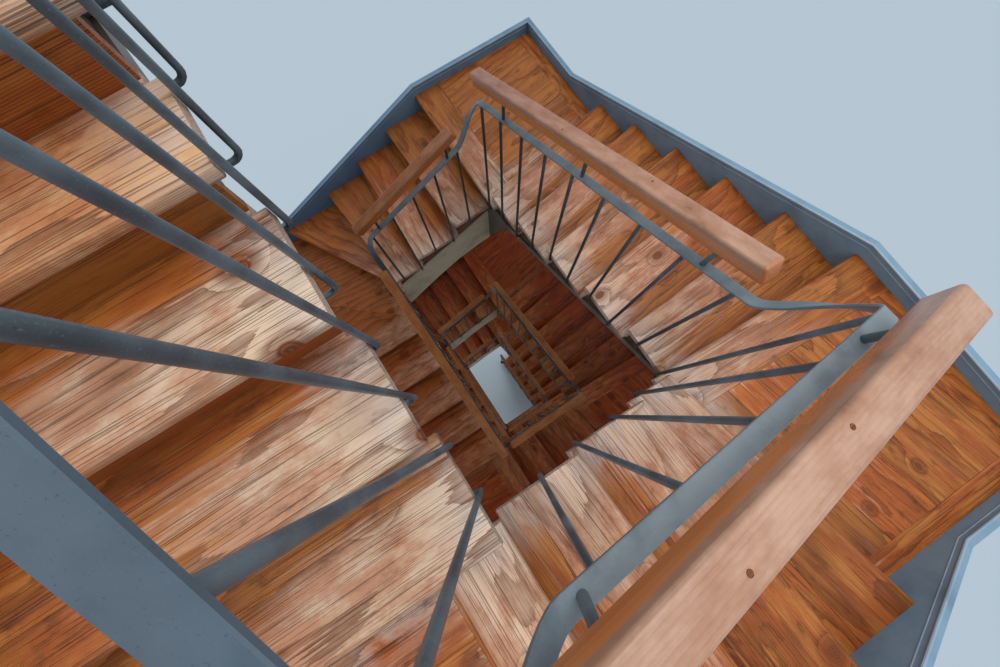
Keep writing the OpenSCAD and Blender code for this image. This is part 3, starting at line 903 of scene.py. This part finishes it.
def sweep(bm: BMesh, section: list, path: list, up: Vector, swells: list | None = None) -> None:
    """Extrudes a closed section along a path and closes both ends.

    Args:
        bm: The mesh that takes the swept form.
        section: The section's points in a station's own X and Y.
        path: The path's points.
        up: The direction that the section's Y keeps near.
        swells: How far the section grows at each point, as a factor.
    """
    grown = [Matrix.Diagonal((swell, swell, 1, 1)) for swell in swells or [1] * len(path)]
    stations = [frame_at(path, k, up) @ grown[k] for k in range(len(path))]
    verts = [bm.verts.new(stations[0] @ p) for p in section]
    edges = [bm.edges.new((verts[k - 1], verts[k])) for k in range(len(verts))]
    made = [bm.faces.new(verts)]
    for here, there in zip(stations, stations[1:]):
        out = bmesh.ops.extrude_edge_only(bm, edges=edges)["geom"]
        verts = [g for g in out if isinstance(g, BMVert)]
        fresh = set(verts)
        made.extend(g for g in out if isinstance(g, BMFace))
        edges = [e for e in dict.fromkeys(e for v in verts for e in v.link_edges) if fresh.issuperset(e.verts)]
        bmesh.ops.transform(bm, matrix=there @ here.inverted(), verts=verts)
    made.extend(bmesh.ops.edgenet_fill(bm, edges=edges)["faces"])
    bmesh.ops.recalc_face_normals(bm, faces=made)


@dataclass
class Ironwork:
    """The flat bar with its raised necks, the hooked rods and the short posts under the rail.

    A tuple of four has a value for each flight. The levels are the bar's ends, in steps of the storey.
    A neck rises neck_in before a bend and is over neck_out after it. A rod hooks under a tread once it
    stands behind the nosing by its flight's value.
    """

    rod: float = 0.008
    uneven: float = 0.03
    lean: float = 0.0015
    hook: float = 0.024
    hook_drop: float = 0.017
    hook_below: float = 0.054
    width: float = 0.036
    thick: float = 0.008
    arris: float = 0.0016
    rise: float = 0.900
    bend: float = 0.060
    necks: tuple = (0.100, 0.090, 0.140, 0.140)
    neck_in: float = 0.140
    neck_out: float = 0.056
    ease: float = 0.060
    foot: float = 0.044
    levels: tuple = ((0.7, 5.72), (7.6, 9.07), (10.3, 15.3), (16.6, 19.45))
    winders: tuple = ((1, 5), (7, 9), (11, 15), (17, 19))
    rods_in: tuple = (9, 5, 10, 5)
    rod_first: tuple = (0.002, 0.002, 0.035, 0.002)
    rod_last: tuple = (0.0, 0.0, 0.080, 0.0)
    behind: tuple = (0.034, 0.034, 0.060, 0.034)
    stubs: tuple = ((0.167, 0.5, 0.827), (0.18, 0.85), (0.12, 0.5, 0.8), (0.15, 0.75))
    stub_in: float = 0.003
    rail_gap: float = 0.095
    rail_dip: tuple = (0.0, 0.041, 0.0, 0.0)
    guard_rise: float = 0.995
    guard_rods: int = 6
    guard_inset: float = 0.090
    guard_stubs: tuple = (0.2, 0.75)
    guard_stub: float = 0.101
    draw: random.Random = field(default_factory=lambda: random.Random(3))

    @property
    def out(self) -> float:
        """How far the rods stand off the tread ends."""
        return self.rod + 0.003

    @property
    def arc(self) -> float:
        """The length of a corner bend."""
        return self.bend * math.pi / 2

    @property
    def turn_s(self) -> float:
        """Where a bend starts, from the corner."""
        return self.out + self.bend

    def line_z(self, i: int, t: int, s: float) -> float:
        """The bar's height on a flight, as a straight line."""
        low, high = self.levels[i]
        return PLAN.level(t, low + (high - low) * s / PLAN.spans[i]) + self.rise

    @staticmethod
    def eased(x: float) -> float:
        """A smooth step from 0 to 1."""
        x = min(max(x, 0.0), 1.0)
        return x * x * (3 - 2 * x)

    @staticmethod
    def before(i: int, t: int) -> tuple:
        """The flight below a flight, and its storey."""
        return (i + 3) % 4, t - 1 if i == 0 else t

    def bend_z(self, i: int, t: int, u: float) -> float:
        """The bar's height in the bend that ends a flight.

        Args:
            i: The flight.
            t: Its storey.
            u: The distance from the middle of the bend, along the bar.

        Returns:
            The height.
        """
        neck = self.necks[i]
        e = self.eased((u + neck) / (neck + self.neck_out))
        below = self.line_z(i, t, PLAN.spans[i] - self.turn_s + min(u + self.arc / 2, 0))
        above = self.line_z((i + 1) % 4, t + 1 if i == 3 else t, self.turn_s + max(u - self.arc / 2, 0))
        return below * (1 - e) + above * e

    @property
    def guard_z(self) -> float:
        """The height of the landing guard's bar."""
        return PLAN.level(PLAN.storeys, PLAN.steps) + self.guard_rise

    def height(self, i: int, t: int, s: float) -> float:
        """The bar's height at a place along a flight.

        Args:
            i: The flight.
            t: Its storey.
            s: The place.

        Returns:
            The height.
        """
        span, in_neck = PLAN.spans[i], s > PLAN.spans[i] - self.turn_s - self.neck_in
        if in_neck and i == 3 and t == PLAN.storeys:
            e = self.eased((s - (span - self.neck_in - self.ease)) / (self.neck_in + self.ease))
            return self.line_z(3, t, s) * (1 - e) + self.guard_z * e
        if in_neck:
            return self.bend_z(i, t, min(s - (span - self.turn_s), 0) - self.arc / 2)
        if s < self.turn_s + self.neck_out and (i or t > 1):
            return self.bend_z(*self.before(i, t), max(s - self.turn_s, 0) + self.arc / 2)
        return self.line_z(i, t, s)

    def in_bend(self, side: Side, t: int, share: float, starting: bool) -> Vector:
        """A point of the bar in the half bend at a flight's start or end.

        Args:
            side: The flight.
            t: Its storey.
            share: 0 where the bar is straight, 1 at the middle of the bend.
            starting: Whether the bend is at the flight's start.

        Returns:
            The point.
        """
        i, angle, u = side.value, math.radians(45 * share), (1 - share) * self.arc / 2
        if starting:
            s, z = self.turn_s - self.bend * math.sin(angle), self.bend_z(*self.before(i, t), u)
        else:
            s, z = PLAN.spans[i] - self.turn_s + self.bend * math.sin(angle), self.bend_z(i, t, -u)
        return PLAN.point(side, s, -self.turn_s + self.bend * math.cos(angle), z)

    def path(self, side: Side, t: int) -> list:
        """The flat bar's centre line on one flight, from mid-bend to mid-bend.

        Args:
            side: The flight.
            t: Its storey.

        Returns:
            Its points.
        """
        i, span = side.value, PLAN.spans[side.value]
        lowest, highest = i == 0 and t == 1, i == 3 and t == PLAN.storeys
        start, end = self.foot if lowest else self.turn_s, span if highest else span - self.turn_s
        stops = [start + self.neck_out * k / 4 for k in range(5)]
        stops += [end - (self.neck_in + self.ease) * (1 - k / 14) for k in range(15)]
        points = [] if lowest else [self.in_bend(side, t, 1 - k / 8, True) for k in range(8)]
        points += [PLAN.point(side, s, -self.out, self.height(i, t, s)) for s in stops]
        return points if highest else points + [self.in_bend(side, t, k / 8, False) for k in range(1, 9)]

    @property
    def section(self) -> list:
        """The flat bar's section, with eased arrises.

        Returns:
            Its points.
        """
        w, h, c = self.width / 2, self.thick / 2, self.arris
        half = ((-w, -h + c), (-w + c, -h), (w - c, -h), (w, -h + c))
        return [Vector((x, y, 0)) for x, y in (*half, *((-x, -y) for x, y in half))]

    def hook_z(self, i: int, t: int, s: float) -> float:
        """The height of a rod's hook: under the tread beside it, and on the left flight along its slope.

        Args:
            i: The flight.
            t: Its storey.
            s: Where the rod stands.

        Returns:
            The height.
        """
        first, last = self.winders[i]
        passed = [j for j in range(first, last + 1) if PLAN.shares(j, t)[0] * PLAN.spans[i] + self.behind[i] <= s]
        under = self.under(PLAN.level(t, max(passed, default=first - 1)))
        return min(under, self.line_z(i, t, s) - self.rise - self.hook_below) if i == 2 else under

    def under(self, tread_z: float) -> float:
        """The height of a hook close under a tread."""
        return tread_z - PLAN.tread - self.hook_drop - self.rod

    def rod_path(self, side: Side, s: float, top: float, low: float) -> list:
        """A rod's centre line: down past the tread end, then a quarter turn into the cut string.

        Args:
            side: The flight.
            s: Where the rod stands.
            top: The height of its upper end.
            low: The height of its hook.

        Returns:
            Its points.
        """
        lean, drop = self.draw.uniform(-self.lean, self.lean), low + self.hook - top
        sways = [lean * math.sin(k * math.pi / 6) for k in range(7)]
        points = [PLAN.point(side, s + sway, -self.out, top + drop * k / 6) for k, sway in enumerate(sways)]
        for a in (math.radians(18 * k) for k in range(1, 6)):
            turned = -self.out + self.hook * (1 - math.cos(a)), low + self.hook * (1 - math.sin(a))
            points.append(PLAN.point(side, s, *turned))
        return [*points, PLAN.point(side, s, PLAN.string_over[side.value] - MM, low)]

    def rod_along(self, bm: BMesh, side: Side, path: list) -> None:
        """Sweeps a round rod, a little uneven from the hammer."""
        swells = [1 + self.draw.uniform(-self.uneven, self.uneven) for _ in path]
        sweep(bm, circle(self.rod, 12), path, side.along, swells)

    def stub(self, bm: BMesh, side: Side, s: float, low: float, high: float) -> None:
        """Sweeps a short post between the bar and the rail."""
        self.rod_along(bm, side, [PLAN.point(side, s, -self.out, low + (high - low) * k / 3) for k in range(4)])

    def rail_z(self, i: int, t: int, s: float) -> float:
        """The height of the rail's lower face on a flight."""
        return self.line_z(i, t, s) + self.rail_gap + self.thick / 2 - self.rail_dip[i] * (1 - s / PLAN.spans[i])

    def rod_s(self, i: int, k: int) -> float:
        """Where rod k of a flight stands."""
        low, high = self.turn_s + self.rod_first[i], PLAN.spans[i] - self.turn_s - self.neck_in + self.arc / 2
        return low + k * (high - self.rod_last[i] - low) / (self.rods_in[i] - 1)

    def build(self) -> None:
        """Builds the bars, rods and short posts of every flight and of the landing guard."""
        for side in Side:
            i, bars, rods = side.value, bmesh.new(), bmesh.new()
            for t in range(1, PLAN.storeys + 1):
                sweep(bars, self.section, self.path(side, t), UP)
                for k in range(1 if i == 0 and t == 1 else 0, self.rods_in[i]):
                    s = self.rod_s(i, k)
                    top, low = self.height(i, t, s) - MM, self.hook_z(i, t, s)
                    self.rod_along(rods, side, self.rod_path(side, s, top, low))
                for s in (share * PLAN.spans[i] for share in self.stubs[i]):
                    self.stub(rods, side, s, self.height(i, t, s), self.rail_z(i, t, s) + self.stub_in)
            # painted shade: the left flight's bar gets the darker copy of the paint
            coat = Finish.SHADED_BAR if side is Side.LEFT else Finish.BAR
            self.finish_panel(bars, rods, coat, side.label, "balustrade_" + side.label)
        self.guard()
        redress("start_post", "iron_start_post", Finish.ROD, smooth=40)

    @staticmethod
    def finish_panel(bars: BMesh, rods: BMesh, coat: Finish, label: str, source: str) -> None:
        """Finishes a balustrade's bar and rods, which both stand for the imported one."""
        dress("flat_bar_" + label, bars, coat, [source], smooth=28)
        dress("iron_rods_" + label, rods, Finish.ROD, [source], smooth=50)

    def guard(self) -> None:
        """The level bar, rods and short posts beside the top landing."""
        side, bars, rods = Side.HEAD, bmesh.new(), bmesh.new()
        span, width, floor = PLAN.spans[3], PLAN.widths[0], PLAN.level(PLAN.storeys, PLAN.steps)
        level = [PLAN.point(side, span + width * k / 4, -self.out, self.guard_z) for k in range(5)]
        sweep(bars, self.section, level, UP)
        for k in range(self.guard_rods):
            s = span + self.guard_inset + k * (width - 2 * self.guard_inset) / (self.guard_rods - 1)
            self.rod_along(rods, side, self.rod_path(side, s, self.guard_z, self.under(floor)))
        for share in self.guard_stubs:
            self.stub(rods, side, span + share * width, self.guard_z, self.guard_z + self.guard_stub)
        self.finish_panel(bars, rods, Finish.BAR, "landing", "landing_guard")


@dataclass(frozen=True)
class RailLine:
    """Where a rail length lies: the middle of its lower face, and the level direction across it."""

    start: Vector
    end: Vector
    level: Vector

    @property
    def reach(self) -> float:
        """The rail's length."""
        return (self.end - self.start).length

    def place(self, lift_by: float) -> Matrix:
        """The matrix from the rail's own axes to the shared frame.

        Args:
            lift_by: How far their zero lies over the middle of the lower face.

        Returns:
            The matrix: X runs along the rail, and Z square to its top face.
        """
        ahead = (self.end - self.start).normalized()
        lift = ahead.cross(self.level).normalized()
        lift = lift if lift.z > 0 else -lift
        turn = Matrix((ahead, lift.cross(ahead), lift)).transposed().to_4x4()
        return Matrix.Translation((self.start + self.end) / 2 + lift * lift_by) @ turn


@dataclass
class WoodenRails:
    """The rail lengths, each a straight timber with rounded arrises and softened ends.

    A plug has its share of the rail's length and its distance from the middle of the top face.
    """

    width: float = 0.062
    depth: float = 0.065
    round_over: float = 0.008
    off_bar: float = 0.018
    plugs: tuple = ((0.455, -0.012), (0.730, 0.008))
    plug: float = 0.009
    plug_height: float = 0.0016
    plug_tone: float = 0.4
    starts: tuple = (0.025, 0.070, -0.015, 0.025)
    stops: tuple = (0.150, 0.060, 0.150, 0.150)
    guard_inset: float = 0.030
    draw: random.Random = field(default_factory=lambda: random.Random(8))

    def row_of_plugs(self, line: RailLine) -> BMesh:
        """The dark plugs over the screws in a rail's top face.

        Args:
            line: Where the rail lies.

        Returns:
            The plugs' mesh with its grain marked.
        """
        bm, place = bmesh.new(), line.place(self.depth / 2)
        for share, off in self.plugs:
            spot = place @ Matrix.Translation(((share - 0.5) * line.reach, off, self.depth / 2))
            bmesh.ops.create_cone(bm, cap_ends=True, segments=12, radius1=self.plug / 2,
                                  radius2=self.plug / 2 - MM / 2, depth=self.plug_height, matrix=spot)
        grain = Matrix.Translation(in_log(self.draw)) @ place.inverted()
        mark(bm, grain, Matrix.Diagonal((0, 0, 0, 1)), self.plug_tone)
        return bm

    def length_of_rail(self, line: RailLine) -> BMesh:
        """One rail length, with rounded arrises.

        Args:
            line: Where it lies.

        Returns:
            The rail's mesh with its grain marked.
        """
        bm, place = bmesh.new(), line.place(self.depth / 2)
        bmesh.ops.create_cube(bm, size=1.0)
        bmesh.ops.scale(bm, vec=(line.reach, self.width, self.depth), verts=bm.verts)
        bmesh.ops.bevel(bm, geom=bm.edges[:], offset=self.round_over, offset_type="OFFSET", affect="EDGES",
                        segments=5, profile=0.5, material=-1)
        bmesh.ops.transform(bm, matrix=place, verts=bm.verts)
        inverse = place.inverted()
        mark(bm, Matrix.Translation(in_log(self.draw)) @ inverse, Matrix.Diagonal((0, 0, 0, 1)), self.draw.random())
        layer = bm.verts.layers.float_vector["walk"]
        for vert in bm.verts:
            local = inverse @ vert.co
            # the hand wears the top face and the upper part of the sides; the sawn ends stay dark
            worn = Ironwork.eased((local.z - self.depth / 2 + 2.5 * self.round_over) / (2 * self.round_over))
            worn *= Ironwork.eased((line.reach / 2 - MM - abs(local.x)) / self.round_over)
            vert[layer] = (1.1 - 0.9 * worn, 0.0, vert[layer].z)
        return bm

    def build(self, iron: Ironwork) -> None:
        """Builds every rail length.

        Args:
            iron: The balustrade under them.
        """
        out = -iron.out + self.off_bar
        for side in Side:
            i, rails, plugs = side.value, [], []
            for t in range(1, PLAN.storeys + 1):
                ends = [PLAN.point(side, s, out, iron.rail_z(i, t, s))
                        for s in (self.starts[i], PLAN.spans[i] - self.stops[i])]
                line = RailLine(*ends, side.outward)
                rails.append(self.length_of_rail(line))
                plugs.append(self.row_of_plugs(line))
            source = "handrail_" + side.label
            dress("rail_lengths_" + side.label, gather(rails), Finish.RAIL, [source], smooth=35)
            dress("rail_plugs_" + side.label, gather(plugs), Finish.BEARER, [source])
        ends = [PLAN.point(Side.HEAD, PLAN.spans[3] + s, out, iron.guard_z + iron.rail_gap + iron.thick / 2)
                for s in (self.guard_inset, PLAN.widths[0] - self.guard_inset)]
        guard = self.length_of_rail(RailLine(*ends, Side.HEAD.outward))
        dress("rail_length_landing", guard, Finish.RAIL, ["guard_rail"], smooth=35)


@dataclass
class Studio:
    """The pale floor, the soft light and the camera at the photograph's place."""

    pale: str = "#b8c6cf"
    sky: str = "#f3f6fa"
    overhead: float = 1.42
    sideways: float = 0.12
    lamp_watts: float = 110.0
    lamp_size: float = 3.0
    lamp_at: tuple = (0.6, 0.4, 17.2)
    lamp_colour: tuple = (1.0, 0.98, 0.95)
    floor_at: tuple = (1, -1.5, 0)
    floor_size: float = 300.0
    camera_at: tuple = (1.505, -1.84, 12.8205)
    focal: float = 423.0
    vanish: tuple = (6.2, 80.0)
    heading: float = 0.993
    image_width: int = 1000
    sensor: float = 36.0

    @staticmethod
    def show(name: str, data: bpy.types.ID) -> bpy.types.Object:
        """Adds an object to the scene.

        Args:
            name: Its name.
            data: Its mesh, lamp or lens.

        Returns:
            The object.
        """
        shown = bpy.data.objects.new(name, data)
        bpy.context.scene.collection.objects.link(shown)
        return shown

    def floor(self) -> None:
        """A large plain floor under the staircase."""
        bm = bmesh.new()
        bmesh.ops.create_grid(bm, x_segments=1, y_segments=1, size=self.floor_size)
        bmesh.ops.translate(bm, verts=bm.verts, vec=self.floor_at)
        mesh = bpy.data.meshes.new("floor")
        bm.to_mesh(mesh)
        bm.free()
        material, _, shader = start_material("pale_floor")
        shader.inputs["Base Color"].default_value = linear(self.pale)
        shader.inputs["Roughness"].default_value = 0.85
        mesh.materials.append(material)
        self.show("floor", mesh)

    def light(self) -> None:
        """Sky-like light, strong overhead and weak from the sides, and one wide soft lamp."""
        world = bpy.data.worlds.new("studio")
        bpy.context.scene.world = world
        world.use_nodes = True
        add = partial(node, world.node_tree)
        height = add("SeparateXYZ", add("TexCoord").outputs["Generated"]).outputs[2]
        strength = add("MapRange", height, 0.0, 0.95, self.sideways, self.overhead)
        seen = add("LightPath").outputs
        plain = add("Math MAXIMUM", seen["Is Camera Ray"], seen["Is Glossy Ray"])
        plain = add("Math MAXIMUM", plain, seen["Is Transmission Ray"])
        sky = add("Background", Color=self.sky, Strength=strength)
        wall = add("Background", Color=self.pale, Strength=1.0)
        both = add("MixShader", plain, sky, wall)
        world.node_tree.links.new(both.outputs[0], world.node_tree.nodes["World Output"].inputs[0])
        lamp = bpy.data.lights.new("ceiling", "AREA")
        lamp.shape, lamp.size, lamp.energy, lamp.color = "DISK", self.lamp_size, self.lamp_watts, self.lamp_colour
        holder = self.show("ceiling", lamp)
        holder.location = self.lamp_at
        holder.visible_camera = False

    def in_frame(self, w: Vector) -> Vector:
        """A direction of the camera (right, down, forward) in the shared frame.

        Args:
            w: The direction.

        Returns:
            The same direction in the shared frame.
        """
        down = Vector((*self.vanish, self.focal)).normalized()
        right = (Vector((1, 0, 0)) - down * down.x).normalized()
        a, b, cos, sin = w.dot(right), w.dot(down.cross(right)), math.cos(self.heading), math.sin(self.heading)
        return Vector((a * cos + b * sin, a * sin - b * cos, -w.dot(down)))

    def camera(self) -> None:
        """The photograph's camera, looking down into the well."""
        axes = [self.in_frame(Vector(w)) for w in ((1, 0, 0), (0, -1, 0), (0, 0, -1))]
        lens = bpy.data.cameras.new("camera")
        lens.sensor_fit, lens.sensor_width = "HORIZONTAL", self.sensor
        lens.lens = self.focal / self.image_width * self.sensor
        lens.clip_start, lens.clip_end = 0.01, 500.0
        holder = self.show("camera", lens)
        holder.matrix_world = Matrix.Translation(self.camera_at) @ Matrix(axes).transposed().to_4x4()
        bpy.context.scene.camera = holder

    def build(self) -> None:
        """Builds the stage."""
        self.camera()
        self.floor()
        self.light()
        bpy.context.scene.view_settings.view_transform = "Standard"


def main() -> None:
    """Builds the sub-assemblies in order and reports them."""
    logging.basicConfig(level=logging.INFO, format="%(name)s %(message)s")
    Studio().build()
    TreadBoards().build()
    RiserBoards().build()
    StringTimbers().build()
    Paintwork().build()
    iron = Ironwork()
    iron.build()
    WoodenRails().build(iron)


if __name__ == "__main__":
    main()
